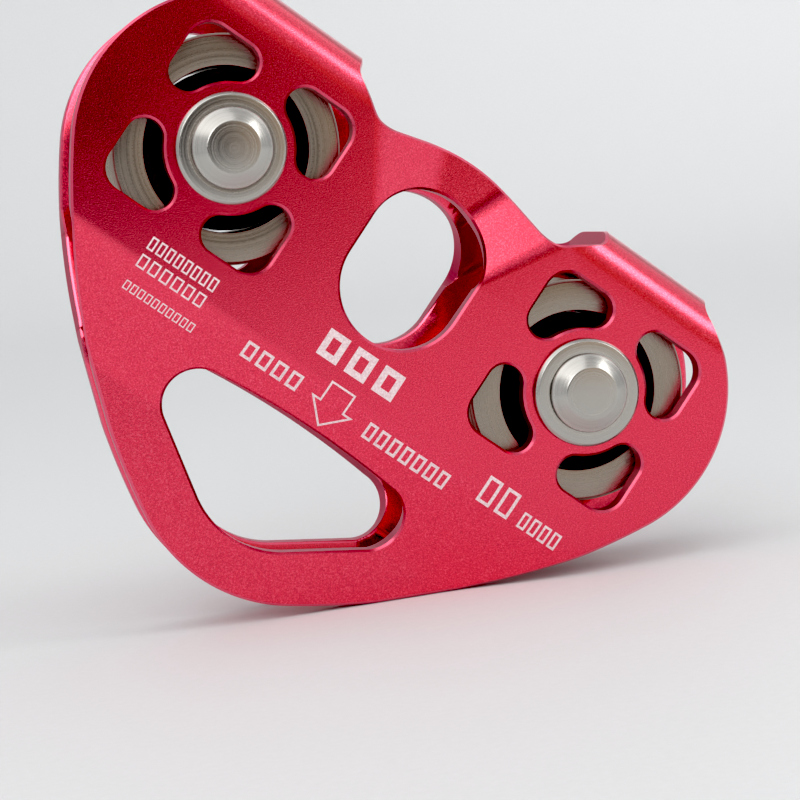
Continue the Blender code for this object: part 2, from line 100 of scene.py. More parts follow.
DENT_LOW, CREASE_REACH = 3.0, 17.0  # the creases lie above this w and within this u
SLOT_R, SLOT_LOW, SLOT_HIGH = 8.75, -2.2, 3.2
HOLE_TOP, HOLE_ARCH, HOLE_APEX, HOLE_SLOPE = -26.2, 0.8, -46.4, 34.0
HOLE_CORNER_R, HOLE_FOOT_R = 4.8, 13.0
WIN_INNER_R, WIN_REACH, WIN_CORNER_R = 8.98, 13.0, 3.4
WIN_END_R, WIN_END = 2.65, (10.35, 5.30)
CHEEK_BORE_R = 4.05

FOLD_LENGTH = FOLD_R * math.pi / 2
FOLD_END = FOLD_START + FOLD_LENGTH
SHEET_MID = FOLD_END + FRAME_WIDTH / 2 - FOLD_R
STEP_SOFT = BEND_SOFT / (STEP_TOP - STEP_END)
BEND_PARTS, FOLD_PARTS = 12, 14


# ---- outlines of the flat sheet ----
def arc(cx, cy, r, a0, a1, step=0.55):
    # points on an arc from angle a0 to a1, about one step apart
    n = max(3, int(abs(math.radians(a1 - a0)) * r / step + 0.999))
    turn = [math.radians(a0 + (a1 - a0) * i / n) for i in range(n + 1)]
    return [(cx + r * math.cos(a), cy + r * math.sin(a)) for a in turn]


def join(*runs):
    # runs of points laid end to end, without doubles
    out = []
    for run in runs:
        for p in run:
            if not out or math.dist(p, out[-1]) > 0.05:
                out.append(p)
    return out


def flank_centre():
    # the flank arc touches the lobe round and the foot round from outside
    ax, ra = HALF_SPAN, FLANK_R - LOBE_R
    by, rb = FOOT_BOTTOM + FOOT_R, FLANK_R - FOOT_R
    d = math.hypot(ax, by)
    a = (ra * ra - rb * rb + d * d) / (2 * d)
    h = math.sqrt(ra * ra - a * a)
    ex, ey = -ax / d, by / d
    mx, my = ax + a * ex, a * ey
    return min(((mx + h * ey, my - h * ex), (mx - h * ey, my + h * ex)))


def outer_quarter():
    # right half of one cheek's lower and outer outline, up to the middle of the fold
    fx, fy = flank_centre()
    foot = math.degrees(math.atan2(FOOT_BOTTOM + FOOT_R - fy, -fx))
    lobe = math.degrees(math.atan2(-fy, HALF_SPAN - fx))
    land = STAND_ANGLE - 90
    half = math.degrees(math.asin(LAND_HALF / FLANK_R))
    top = math.degrees(math.acos(14.2 / LOBE_R))
    return join(arc(0, FOOT_BOTTOM + FOOT_R, FOOT_R, -90, foot, 0.7),
                arc(fx, fy, FLANK_R, foot, land - half, 1.5),
                arc(fx, fy, FLANK_R, land + half, lobe, 1.5),
                arc(HALF_SPAN, 0, LOBE_R, lobe, top, 0.7),
                arc(HALF_SPAN + STRIP_HALF + SHOULDER_R, SHOULDER_OUT, SHOULDER_R, 228, 180, 0.3),
                [(HALF_SPAN + STRIP_HALF, SHEET_MID)])


def notch_quarter():
    # the same for the notch between the folds, over the crest of the middle lobe
    return join(arc(0, CREST_TOP - CREST_R, CREST_R, 90, 73.5, 0.7),
                arc(NOTCH_U, NOTCH_W + NOTCH_R_IN, NOTCH_R_IN, 252.5, 270, 0.4),
                arc(NOTCH_U, NOTCH_W + NOTCH_R_OUT, NOTCH_R_OUT, 270, 309, 0.3),
                arc(HALF_SPAN - STRIP_HALF - SHOULDER_R, SHOULDER_IN, SHOULDER_R, -51, 0, 0.3),
                [(HALF_SPAN - STRIP_HALF, SHEET_MID)])


def around(quarter):
    # a quarter outline mirrored to the other cheek and to the other side
    q = [(u, s - SHEET_MID) for u, s in quarter]
    right = q + [(u, -v) for u, v in reversed(q[:-1])]
    left = [(-u, v) for u, v in reversed(right)]
    return right + left[1:-1]


def window(cu, k):
    # the k-th of four openings round the axle at u = cu
    ex, ey = WIN_END
    tilt = math.degrees(math.atan2(ey, ex))
    c = WIN_REACH - WIN_CORNER_R
    pts = join(arc(ex, ey, WIN_END_R, tilt + 180, 360, 0.3),
               arc(c, c, WIN_CORNER_R, 0, 90, 0.3),
               arc(ey, ex, WIN_END_R, 90, 270 - tilt, 0.3),
               arc(0, 0, WIN_INNER_R, 90 - tilt, tilt, 0.5))[:-1]
    ca, sa = round(math.cos(k * math.pi / 2)), round(math.sin(k * math.pi / 2))
    return [(cu + x * ca - y * sa, x * sa + y * ca) for x, y in pts]


def slot():
    return join(arc(0, SLOT_LOW, SLOT_R, 180, 360), arc(0, SLOT_HIGH, SLOT_R, 0, 180))


def connector_hole():
    g = math.radians(HOLE_SLOPE / 2)
    apex_u = (HOLE_TOP - HOLE_APEX) / math.tan(math.radians(HOLE_SLOPE))
    d = HOLE_CORNER_R / math.sin(g)
    cu, cw = apex_u - d * math.cos(g), HOLE_TOP - d * math.sin(g)
    foot = HOLE_APEX + HOLE_FOOT_R / math.cos(math.radians(HOLE_SLOPE))
    rise = 2 * math.degrees(math.atan(HOLE_ARCH / cu))
    arch_r = cu / math.sin(math.radians(rise))
    half = join(arc(0, foot, HOLE_FOOT_R, -90, -90 + HOLE_SLOPE),
                arc(cu, cw, HOLE_CORNER_R, -90 + HOLE_SLOPE, 90, 0.4),
                arc(0, HOLE_TOP + HOLE_ARCH - arch_r, arch_r, 90 - rise, 90, 1.2))
    return half + [(-u, w) for u, w in reversed(half[1:-1])]


def sheet_outlines():
    # every outline of the flat sheet, as (u, v); v = 0 runs along the middle of the folds
    openings = [slot(), connector_hole()]
    for cu in AXLE_U.values():
        openings.append(arc(cu, 0, CHEEK_BORE_R, 0, 360)[:-1])
        openings += [window(cu, k) for k in range(4)]
    loops = [around(outer_quarter()), around(notch_quarter())]
    for opening in openings:
        loops.append([(u, w - SHEET_MID) for u, w in opening])
        loops.append([(u, SHEET_MID - w) for u, w in opening])
    return loops


# ---- the bends ----
def ease(x, soft):
    # 0 before the first bend, 1 past the second, with rounded knees
    def run(t):
        return 0.0 if t < -soft else (t if t > soft else (t + soft) ** 2 / (4 * soft))
    return run(x) - run(x - 1)


def dent_share(u, w):
    # 0 on the outer crease of the middle lobe, 1 on the inner crease
    outer = DENT_OUT[0] + DENT_OUT[2] * (w - DENT_OUT[1])
    inner = DENT_IN[0] + DENT_IN[2] * (w - DENT_IN[1])
    return (outer - abs(u)) / (outer - inner)


def sink(u, w):
    # how far the outer face lies inside the plane round the sheaves
    if w < 0:
        return STEP_IN * ease((STEP_TOP - w) / (STEP_TOP - STEP_END), STEP_SOFT)
    if w > DENT_LOW and abs(u) < CREASE_REACH:
        return STEP_IN * ease(dent_share(u, w), DENT_SOFT)
    return 0.0


def bent(u, v, depth):
    # a point of the flat sheet, at a depth under its outer face -> drawing frame
    s = SHEET_MID - abs(v)
    side = -1.0 if v <= 0 else 1.0
    if s <= FOLD_START or abs(u) < NOTCH_U:
        e = 0.02
        n = Vector((-(sink(u + e, s) - sink(u - e, s)) / (2 * e), 1.0,
                    -(sink(u, s + e) - sink(u, s - e)) / (2 * e))).normalized()
        p = Vector((u, sink(u, s), s)) + n * depth
    elif s < FOLD_END:
        a = (s - FOLD_START) / FOLD_R
        r = FOLD_R - depth - sink(u, s)
        p = Vector((u, FOLD_R - r * math.cos(a), FOLD_START + r * math.sin(a)))
    else:
        p = Vector((u, FOLD_R + s - FOLD_END, FOLD_START + FOLD_R - depth))
    return Vector((p.x, side * (FRAME_WIDTH / 2 - p.y), p.z))


def cut(bm, point, normal, faces=None):
    # a straight cut through the flat sheet
    faces = bm.faces[:] if faces is None else [f for f in faces if f.is_valid]
    edges = {e for f in faces for e in f.edges}
    verts = {v for e in edges for v in e.verts}
    bmesh.ops.bisect_plane(bm, geom=[*verts, *edges, *faces], dist=1e-5,
                           plane_co=(*point, 0.0), plane_no=(*normal, 0.0))


def cut_bends(bm, parts=BEND_PARTS):
    # a row of cuts across each soft bend, so that it can turn smoothly
    shares = [i / parts for i in range(parts + 1)]
    for side in (-1, 1):
        for base in (STEP_TOP, STEP_END):
            for k in shares:
                w = base + (2 * k - 1) * BEND_SOFT
                cut(bm, (0, side * (SHEET_MID - w)), (0, 1))
        for k in [i / FOLD_PARTS for i in range(FOLD_PARTS + 1)]:
            s = FOLD_START + FOLD_LENGTH * k
            cut(bm, (0, side * (SHEET_MID - s)), (0, 1))
        for mirror in (-1, 1):
            for edge in (0.0, 1.0):
                for k in shares:
                    cut_dent(bm, side, mirror, edge + (2 * k - 1) * DENT_SOFT)


def cut_dent(bm, side, mirror, share):
    # dent_share is constant along a straight line from w = 4 to w = 17
    ends = []
    for w in (4.0, 17.0):
        outer = DENT_OUT[0] + DENT_OUT[2] * (w - DENT_OUT[1])
        inner = DENT_IN[0] + DENT_IN[2] * (w - DENT_IN[1])
        ends.append(Vector((mirror * (outer - share * (outer - inner)), side * (SHEET_MID - w))))
    run = ends[1] - ends[0]
    near = []
    for f in bm.faces:
        c = f.calc_center_median()
        w = SHEET_MID - abs(c.y)
        if 2.5 < w < 19 and c.x * mirror > -1.5 and abs(c.x) < CREASE_REACH and c.y * side > 0:
            near.append(f)
    cut(bm, ends[0], (-run.y, run.x), near)


# ---- pieces ----
def piece(name, bm, body, nodes, materials, sharp=32.0):
    bmesh.ops.transform(bm, matrix=DRAWN, verts=bm.verts)
    mesh = bpy.data.meshes.new(name)
    bm.to_mesh(mesh)
    bm.free()
    mesh.shade_smooth()
    mesh.set_sharp_from_angle(angle=math.radians(sharp))
    for m in materials:
        mesh.materials.append(m)
    ob = bpy.data.objects.new(name, mesh)
    bpy.context.scene.collection.objects.link(ob)
    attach(ob, body)
    if nodes:
        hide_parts(*nodes)
    return ob


FACE, CHAMFER, WALL = 0, 1, 2


def frame_sheet():
    bm = bmesh.new()
    for loop in sheet_outlines():
        verts = [bm.verts.new((x, y, 0.0)) for x, y in loop]
        for a, b in zip(verts, verts[1:] + verts[:1]):
            bm.edges.new((a, b))
    bmesh.ops.triangle_fill(bm, use_beauty=True, use_dissolve=False, edges=bm.edges[:],
                            normal=(0, 0, 1))
    for f in bm.faces:
        if f.normal.z < 0:
            f.normal_flip()
    bmesh.ops.inset_region(bm, faces=bm.faces[:], thickness=EDGE_BREAK, depth=0.0,
                           use_boundary=True, use_even_offset=True)
    rim = {v for e in bm.edges if e.is_boundary for v in e.verts}
    for v in rim:
        v.co.z = -EDGE_BREAK
    cut_bends(bm)
    rim = {v for e in bm.edges if e.is_boundary for v in e.verts}
    inner = bmesh.ops.extrude_face_region(bm, geom=bm.faces[:])["geom"]
    inner = [v for v in inner if isinstance(v, bmesh.types.BMVert)]
    for v in inner:
        broken = v.co.z < -EDGE_BREAK * 0.99
        v.co.z = -SHEET_T + (INNER_BREAK if broken else 0.0)
    for f in bm.faces:
        z = [v.co.z for v in f.verts]
        if max(z) - min(z) > SHEET_T / 2:
            f.material_index = WALL
        elif max(z) - min(z) > 0.01:
            f.material_index = CHAMFER
        else:
            f.material_index = FACE
    bmesh.ops.triangulate(bm, faces=[f for f in bm.faces if len(f.verts) > 4])
    bmesh.ops.recalc_face_normals(bm, faces=bm.faces[:])
    for v in bm.verts:
        v.co = bent(v.co.x, v.co.y, -v.co.z)
    if bm.calc_volume(signed=True) < 0:
        bmesh.ops.reverse_faces(bm, faces=bm.faces[:])
    return bm


def softened(profile, r, n=3, least=25.0):
    # rounds every corner of a closed profile that turns by more than `least` degrees
    out = []
    count = len(profile)
    for i, p in enumerate(profile):
        p, a, b = Vector(p), Vector(profile[i - 1]), Vector(profile[(i + 1) % count])
        before, after = a - p, b - p
        bend = 180 - math.degrees(before.angle(after))
        if bend < least or p.x < 1e-6:
            out.append(tuple(p))
            continue
        k = min(r, before.length * 0.45, after.length * 0.45)
        start, end = p + before.normalized() * k, p + after.normalized() * k
        for j in range(n + 1):
            t = j / n
            out.append(tuple(start * (1 - t) ** 2 + p * (2 * t * (1 - t)) + end * t ** 2))
    return out


def turned(profile, cu, steps=96, flip=1.0):
    # closed profile of (radius, y), spun about the axle at u = cu
    bm = bmesh.new()
    verts = [bm.verts.new((cu + r, flip * y, 0.0)) for r, y in profile]
    edges = [bm.edges.new((a, b)) for a, b in zip(verts, verts[1:] + verts[:1])
             if (a.co.x - cu) > 1e-6 or (b.co.x - cu) > 1e-6]
    bmesh.ops.spin(bm, geom=verts + edges, cent=(cu, 0, 0), axis=(0, 1, 0), dvec=(0, 0, 0),
                   angle=2 * math.pi, steps=steps, use_merge=True, use_duplicate=False)
    bmesh.ops.remove_doubles(bm, verts=bm.verts[:], dist=1e-4)
    bmesh.ops.recalc_face_normals(bm, faces=bm.faces[:])
    if bm.calc_volume(signed=True) < 0:
        bmesh.ops.reverse_faces(bm, faces=bm.faces[:])
    return bm


# ---- sizes of the turned pieces, in mm ----
FIT = 0.25                          # gap between pieces that touch
SHANK_R = 3.75                      # axle
WASHER_R, WASHER_T, WASHER_BREAK = 7.55, 1.0, 0.4
BOSS_R, BOSS_TOP_R, BOSS_STEP, BOSS_CONE = 5.5, 3.6, 0.35, 1.25
CAP_BORE_R, CAP_BORE_DEPTH = 4.05, 0.8      # the rear cap sits on the shank's end
SPACER_R = 5.9
SHEAVE_R, SHEAVE_W, TREAD_R, GROOVE_HALF, SHEAVE_BORE_R = 15.7, 13.2, 12.4, 5.5, 11.25
RIM_BREAK, BORE_BREAK = 0.35, 0.12
BEARING_W = 7.0
COVER_R0, COVER_R1, COVER_T, COVER_SINK = 6.3, 10.95, 1.0, 1.0
CHANNEL_HALF, CHANNEL_DEEP = 1.3, 0.22      # round channel in a dust cover
OUT_FACE = FRAME_WIDTH / 2
IN_FACE = OUT_FACE - SHEET_T


def washer_profile():
    y0, y1 = OUT_FACE + FIT, OUT_FACE + FIT + WASHER_T
    rough = [(CHEEK_BORE_R, y0), (WASHER_R, y0), (WASHER_R, y1 - WASHER_BREAK),
             (WASHER_R - WASHER_BREAK, y1), (CHEEK_BORE_R, y1)]
    return softened(rough, 0.10)


def head_rows():
    # seat, foot of the cone and flat top of an axle head
    h0 = OUT_FACE + FIT + WASHER_T + FIT
    return h0, h0 + BOSS_STEP, h0 + BOSS_STEP + BOSS_CONE


def axle_profile():
    h0, h1, h2 = head_rows()
    tip = h0 + CAP_BORE_DEPTH - FIT
    head = [(0, h2), (BOSS_TOP_R, h2), (BOSS_R, h1), (BOSS_R, h0), (SHANK_R, h0),
            (SHANK_R, -tip + 0.4), (SHANK_R - 0.4, -tip), (0, -tip)]
    return softened(head, 0.16)


def cap_profile():
    h0, h1, h2 = head_rows()
    cap = [(0, h2), (BOSS_TOP_R, h2), (BOSS_R, h1), (BOSS_R, h0), (CAP_BORE_R, h0),
           (CAP_BORE_R, h0 + CAP_BORE_DEPTH), (0, h0 + CAP_BORE_DEPTH)]
    return softened(cap, 0.16)


def spacer_profile():
    y0, y1 = BEARING_W / 2 + FIT, IN_FACE - FIT
    return softened([(CHEEK_BORE_R, y0), (SPACER_R, y0), (SPACER_R, y1), (CHEEK_BORE_R, y1)], 0.15)


def groove(half, depth, rim_r, parts=28):
    # round-bottomed groove from y = -half to y = +half
    rad = (half * half + depth * depth) / (2 * depth)
    a = math.asin(half / rad)
    turn = [-a + 2 * a * i / parts for i in range(parts + 1)]
    return [(rim_r - rad * math.cos(t) + rad - depth, rad * math.sin(t)) for t in turn]


def sheave_profile():
    h, b, lip = SHEAVE_W / 2, RIM_BREAK, BORE_BREAK
    side = [(SHEAVE_BORE_R + lip, -h), (SHEAVE_R - b, -h), (SHEAVE_R, -h + b)]
    tread = groove(GROOVE_HALF, SHEAVE_R - TREAD_R, SHEAVE_R)
    other = [(SHEAVE_R, h - b), (SHEAVE_R - b, h), (SHEAVE_BORE_R + lip, h)]
    bore = [(SHEAVE_BORE_R, h - lip), (SHEAVE_BORE_R, -h + lip)]
    return softened(side + tread + other + bore, 0.14)


def cover_profile():
    # a moulded lip ring with a shallow round channel in its outer face
    y1 = SHEAVE_W / 2 - COVER_SINK
    y0 = y1 - COVER_T
    mid = (COVER_R0 + COVER_R1) / 2
    turn = [math.pi * i / 8 for i in range(9)]
    dip = [(mid + CHANNEL_HALF * math.cos(a), y1 - CHANNEL_DEEP * math.sin(a)) for a in turn]
    return softened([(COVER_R0, y0), (COVER_R1, y0), (COVER_R1, y1)] + dip + [(COVER_R0, y1)],
                    0.15)


# ---- materials ----
def material(name, colour, metallic, rough, **sockets):
    m = bpy.data.materials.new(name)
    m.use_nodes = True
    shader = m.node_tree.nodes["Principled BSDF"]
    shader.inputs["Base Color"].default_value = (*colour, 1.0)
    shader.inputs["Metallic"].default_value = metallic
    shader.inputs["Roughness"].default_value = rough
    for key, value in sockets.items():
        shader.inputs[key.replace("_", " ")].default_value = value
    return m, m.node_tree, shader


def node(tree, kind, **values):
    n = tree.nodes.new(kind)
    for key, value in values.items():
        if key in n.inputs:
            n.inputs[key].default_value = value
        else:
            setattr(n, key, value)
    return n


def place(tree, offset=(0, 0, 0), scale=(1, 1, 1), turn=(0, 0, 0)):
    # Object coordinates, moved, turned and scaled
    coord = node(tree, "ShaderNodeTexCoord")
    mapping = node(tree, "ShaderNodeMapping", vector_type="POINT", Location=offset,
                   Rotation=turn, Scale=scale)
    tree.links.new(coord.outputs["Object"], mapping.inputs["Vector"])
    return mapping.outputs["Vector"]


def noise(tree, where, scale, detail=2.0, rough=0.5):
    n = node(tree, "ShaderNodeTexNoise", Scale=scale, Detail=detail, Roughness=rough)
    tree.links.new(where, n.inputs["Vector"])
    return n.outputs["Fac"]


def spread(tree, value, low, high, from_low=0.3, from_high=0.7):
    n = node(tree, "ShaderNodeMapRange")
    for key, number in (("From Min", from_low), ("From Max", from_high),
                        ("To Min", low), ("To Max", high)):
        n.inputs[key].default_value = number
    tree.links.new(value, n.inputs["Value"])
    return n.outputs["Result"]


def tint(tree, value, stops):
    n = node(tree, "ShaderNodeValToRGB")
    ramp = n.color_ramp
    while len(ramp.elements) < len(stops):
        ramp.elements.new(0.5)
    for element, (at, colour) in zip(ramp.elements, stops):
        element.position = at
        element.color = (*colour, 1.0)
    tree.links.new(value, n.inputs["Fac"])
    return n.outputs["Color"]


def bump(tree, shader, height, strength, distance, under=None):
    n = node(tree, "ShaderNodeBump", Strength=strength, Distance=distance)
    tree.links.new(height, n.inputs["Height"])
    if under is not None:
        tree.links.new(under, n.inputs["Normal"])
    tree.links.new(n.outputs["Normal"], shader.inputs["Normal"])
    return n.outputs["Normal"]


def radius_from(tree, centre):
    # distance from an axle's line, in metres
    moved = place(tree, offset=(-centre.x, 0, -centre.z), scale=(1, 0, 1))
    n = node(tree, "ShaderNodeVectorMath", operation="LENGTH")
    tree.links.new(moved, n.inputs[0])
    return n.outputs["Value"]


def lathe_lines(tree, centre, per_metre):
    n = node(tree, "ShaderNodeTexNoise", noise_dimensions="1D", Scale=per_metre, Detail=3.0,
             Roughness=0.65)
    tree.links.new(radius_from(tree, centre), n.inputs["W"])
    return n.outputs["Fac"]


def anodised_face():
    # satin dyed film over a fine blasted grain
    m, tree, shader = material("dyed_satin_face", (0.86, 0.030, 0.090), 1.0, 0.19,
                               Coat_Weight=1.0, Coat_Roughness=0.20, Coat_IOR=1.72)
    here = place(tree)
    grain = noise(tree, here, 5200.0, 2.0, 0.6)
    cloud = noise(tree, here, 60.0, 3.0, 0.5)
    colour = tint(tree, grain, [(0.28, (0.62, 0.006, 0.048)), (0.52, (0.86, 0.026, 0.084)),
                                (0.74, (1.00, 0.120, 0.200))])
    tree.links.new(colour, shader.inputs["Base Color"])
    both = node(tree, "ShaderNodeMath", operation="ADD")
    tree.links.new(spread(tree, grain, 0.14, 0.24), both.inputs[0])
    tree.links.new(spread(tree, cloud, -0.02, 0.03), both.inputs[1])
    tree.links.new(both.outputs["Value"], shader.inputs["Roughness"])
    bump(tree, shader, grain, 0.6, 0.00002)
    return m


def anodised_chamfer():
    # machined break, dyed with the rest; its lighter, pinker colour than the face is a painted
    # highlight along the edges
    m, tree, shader = material("break_painted_highlight", (0.80, 0.10, 0.17), 1.0, 0.24,
                               Coat_Weight=0.6, Coat_Roughness=0.15)
    grain = noise(tree, place(tree), 2600.0, 2.0, 0.5)
    tree.links.new(tint(tree, grain, [(0.3, (0.80, 0.11, 0.19)), (0.7, (0.84, 0.14, 0.22))]),
                   shader.inputs["Base Color"])
    tree.links.new(spread(tree, grain, 0.20, 0.26), shader.inputs["Roughness"])
    return m


def anodised_wall():
    # milled edge of the sheet: faint lines that run along the cut, on a base colour darker than the
    # face, which is painted shade on the walls
    m, tree, shader = material("milled_wall_painted_shade", (0.52, 0.02, 0.085), 1.0, 0.46,
                               Coat_Weight=0.4, Coat_Roughness=0.40, Coat_IOR=1.6)
    lines = noise(tree, place(tree, scale=(160, 5200, 160)), 1.0, 2.0, 0.6)
    tree.links.new(tint(tree, lines, [(0.3, (0.46, 0.014, 0.072)), (0.7, (0.58, 0.03, 0.10))]),
                   shader.inputs["Base Color"])
    tree.links.new(spread(tree, lines, 0.42, 0.50), shader.inputs["Roughness"])
    bump(tree, shader, lines, 0.08, 0.00001)
    return m


def turned_steel(name, centre, colour, rough, per_metre, depth):
    m, tree, shader = material(name, colour, 1.0, rough)
    lines = lathe_lines(tree, centre, per_metre)
    scratch = noise(tree, place(tree, scale=(1400, 900, 5000), turn=(0, 0.6, 0)), 1.0, 3.0, 0.7)
    dark = tuple(c * 0.93 for c in colour)
    light = tuple(c * 1.07 for c in colour)
    tree.links.new(tint(tree, lines, [(0.3, dark), (0.7, light)]), shader.inputs["Base Color"])
    mixed = node(tree, "ShaderNodeMath", operation="ADD")
    tree.links.new(spread(tree, lines, rough * 0.8, rough * 1.25), mixed.inputs[0])
    tree.links.new(spread(tree, scratch, -0.01, 0.02), mixed.inputs[1])
    tree.links.new(mixed.outputs["Value"], shader.inputs["Roughness"])
    under = bump(tree, shader, scratch, 0.04, 0.000004)
    bump(tree, shader, lines, 0.35, depth, under)
    return m


def moulded(name, colour, rough):
    m, tree, shader = material(name, colour, 0.0, rough)
    grain = noise(tree, place(tree), 2400.0, 3.0, 0.6)
    light = tuple(c * 1.8 + 0.004 for c in colour)
    tree.links.new(tint(tree, grain, [(0.35, colour), (0.75, light)]), shader.inputs["Base Color"])
    tree.links.new(spread(tree, grain, rough - 0.08, rough + 0.1), shader.inputs["Roughness"])
    bump(tree, shader, grain, 0.3, 0.00002)
    return m


def etched():
    # laser-marked metal: pale, matt, slightly pink
    m, tree, shader = material("laser_mark", (0.84, 0.66, 0.68), 0.15, 0.55)
    grain = noise(tree, place(tree), 4000.0, 2.0, 0.6)
    tree.links.new(tint(tree, grain, [(0.3, (0.72, 0.50, 0.53)), (0.7, (0.93, 0.80, 0.81))]),
                   shader.inputs["Base Color"])
    return m


def paper():
    m, tree, shader = material("studio_paper", (0.79, 0.80, 0.805), 0.0, 0.6,
                               Specular_IOR_Level=0.3)
    grain = noise(tree, place(tree), 900.0, 3.0, 0.6)
    tree.links.new(tint(tree, grain, [(0.3, (0.78, 0.787, 0.792)), (0.7, (0.80, 0.807, 0.812))]),
                   shader.inputs["Base Color"])
    return m


# ---- marks on the front cheek: an outlined arrow and rows of plain open boxes ----
MARK_LIFT, MARK_SINK = 0.025, 0.02   # how far they stand out of the sheet and reach into it


def outlined(bm, points, stroke):
    # a flat closed outline of the given width, inside the points
    face = bm.faces.new([bm.verts.new((x, y, 0.0)) for x, y in points])
    face.normal_update()
    if face.normal.z < 0:
        face.normal_flip()
    bmesh.ops.inset_individual(bm, faces=[face], thickness=stroke, depth=0.0,
                               use_even_offset=True)
    bmesh.ops.delete(bm, geom=[face], context="FACES_ONLY")


def box_row(bm, u0, u1, w_mid, high, count, stroke, fall=0.0):
    # open boxes side by side; fall: how much lower the row's right end lies
    pitch = (u1 - u0) / count
    for i in range(count):
        c = u0 + pitch * (i + 0.5)
        w = w_mid - fall * (i + 0.5) / count
        x, y = pitch * 0.36, high / 2
        corners = [(c - x, w - y), (c + x, w - y), (c + x, w + y), (c - x, w + y)]
        outlined(bm, [(px, py - SHEET_MID) for px, py in corners], stroke)


def marks():
    bm = bmesh.new()
    shaft, head, top, neck, tip = 2.0, 3.45, -18.3, -21.2, -24.6
    mid = 0.9
    arrow = [(mid - shaft, top), (mid - shaft, neck), (mid - head, neck), (mid, tip),
             (mid + head, neck), (mid + shaft, neck), (mid + shaft, top)]
    outlined(bm, [(x, y - SHEET_MID) for x, y in arrow], 0.28)
    box_row(bm, -32.3, -21.2, -16.5, 1.9, 8, 0.24)
    box_row(bm, -32.3, -21.4, -19.2, 1.9, 6, 0.24)
    box_row(bm, -32.0, -20.6, -22.9, 1.3, 10, 0.16)
    box_row(bm, -14.0, -4.2, -21.2, 2.4, 4, 0.40)
    box_row(bm, 6.3, 20.6, -21.3, 2.4, 7, 0.38)
    box_row(bm, -5.8, 8.0, -14.4, 4.0, 3, 0.95)
    box_row(bm, 24.6, 30.8, -19.0, 4.0, 2, 0.45)
    box_row(bm, 31.8, 38.8, -19.8, 2.4, 4, 0.32)
    bmesh.ops.recalc_face_normals(bm, faces=bm.faces[:])
    for f in bm.faces:
        if f.normal.z < 0:
            f.normal_flip()
    for base in (STEP_TOP, STEP_END):
        for k in range(BEND_PARTS + 1):
            w = base + (2 * k / BEND_PARTS - 1) * BEND_SOFT
            cut(bm, (0, w - SHEET_MID), (0, 1))
    low = bmesh.ops.extrude_face_region(bm, geom=bm.faces[:])["geom"]
    for v in low:
        if isinstance(v, bmesh.types.BMVert):
            v.co.z = -MARK_LIFT - MARK_SINK
    bmesh.ops.recalc_face_normals(bm, faces=bm.faces[:])
    for v in bm.verts:
        v.co = bent(v.co.x, v.co.y, -v.co.z - MARK_LIFT)
    if bm.calc_volume(signed=True) < 0:
        bmesh.ops.reverse_faces(bm, faces=bm.faces[:])
    return bm


# ---- the object ----
piece("cheek_sheet", frame_sheet(), "cheek_frame", ["frame"],
      [anodised_face(), anodised_chamfer(), anodised_wall()])
piece("cheek_marks", marks(), "cheek_frame", [], [etched()])

rubber = moulded("black_rubber", (0.022, 0.022, 0.023), 0.42)
polymer = moulded("cage_polymer", (0.22, 0.19, 0.13), 0.5)
for tag, cu in AXLE_U.items():
    centre = AXLE[tag]
    bright = turned_steel("axle_steel_" + tag, centre, (0.50, 0.485, 0.455), 0.22, 2600.0, 0.000010)
    grey = turned_steel("sheave_steel_" + tag, centre, (0.38, 0.335, 0.29), 0.27, 2100.0, 0.000004)
    race = turned_steel("race_steel_" + tag, centre, (0.66, 0.66, 0.66), 0.16, 4000.0, 0.000004)
    sheave_body = "sheave_" + tag
    for name, side in (("front", -1.0), ("rear", 1.0)):
        tail = "_%s_%s" % (tag, name)
        piece("washer_ring" + tail, turned(washer_profile(), cu, 96, side), "cheek_frame",
              ["washer" + tail], [bright])
        piece("spacer_ring" + tail, turned(spacer_profile(), cu, 64, side), "cheek_frame",
              ["spacer" + tail], [grey])
        piece("dust_cover" + tail, turned(cover_profile(), cu, 96, side), sheave_body,
              ["cover" + tail], [rubber])
    piece("axle_pin_" + tag, turned(axle_profile(), cu, 96, -1.0), "cheek_frame",
          ["axle_" + tag], [bright])
    piece("axle_end_" + tag, turned(cap_profile(), cu, 96), "cheek_frame",
          ["axle_cap_" + tag], [bright])
    piece("rope_sheave_" + tag, turned(sheave_profile(), cu, 128), sheave_body,
          ["sheave_" + tag], [grey])
    for ring in ("inner_race_", "outer_race_"):
        frame["nodes"][ring + tag].data.materials.clear()
        frame["nodes"][ring + tag].data.materials.append(race)
    frame["nodes"]["cage_" + tag].data.materials.clear()
    frame["nodes"]["cage_" + tag].data.materials.append(polymer)
    for k in range(1, 8):
        ball = frame["nodes"]["ball_%s_%d" % (tag, k)]
        ball.data.materials.clear()
        ball.data.materials.append(race)


# ---- studio: paper sweep, soft lights, camera ----
def sweep():
    bm = bmesh.new()
    depth_front, depth_back, bow, high, wide = -1.6, 0.75, 0.35, 1.6, 1.8
    line = [(depth_front, -0.0001), (depth_back, -0.0001)]
    for i in range(1, 13):
        a = math.pi / 2 * i / 12
        line.append((depth_back + bow * math.sin(a), bow - bow * math.cos(a) - 0.0001))
    line.append((depth_back + bow, high))
    verts = [bm.verts.new((-wide, y, z)) for y, z in line]
    edges = [bm.edges.new((a, b)) for a, b in zip(verts, verts[1:])]
    side = bmesh.ops.extrude_edge_only(bm, edges=edges)["geom"]
    for v in side:
        if isinstance(v, bmesh.types.BMVert):
            v.co.x = wide
    bmesh.ops.recalc_face_normals(bm, faces=bm.faces[:])
    for f in bm.faces:
        if f.normal.z < 0 or (abs(f.normal.z) < 0.1 and f.normal.y > 0):
            f.normal_flip()
    mesh = bpy.data.meshes.new("paper_sweep")
    bm.to_mesh(mesh)
    bm.free()
    mesh.shade_smooth()
    mesh.materials.append(paper())
    ob = bpy.data.objects.new("paper_sweep", mesh)
    bpy.context.scene.collection.objects.link(ob)


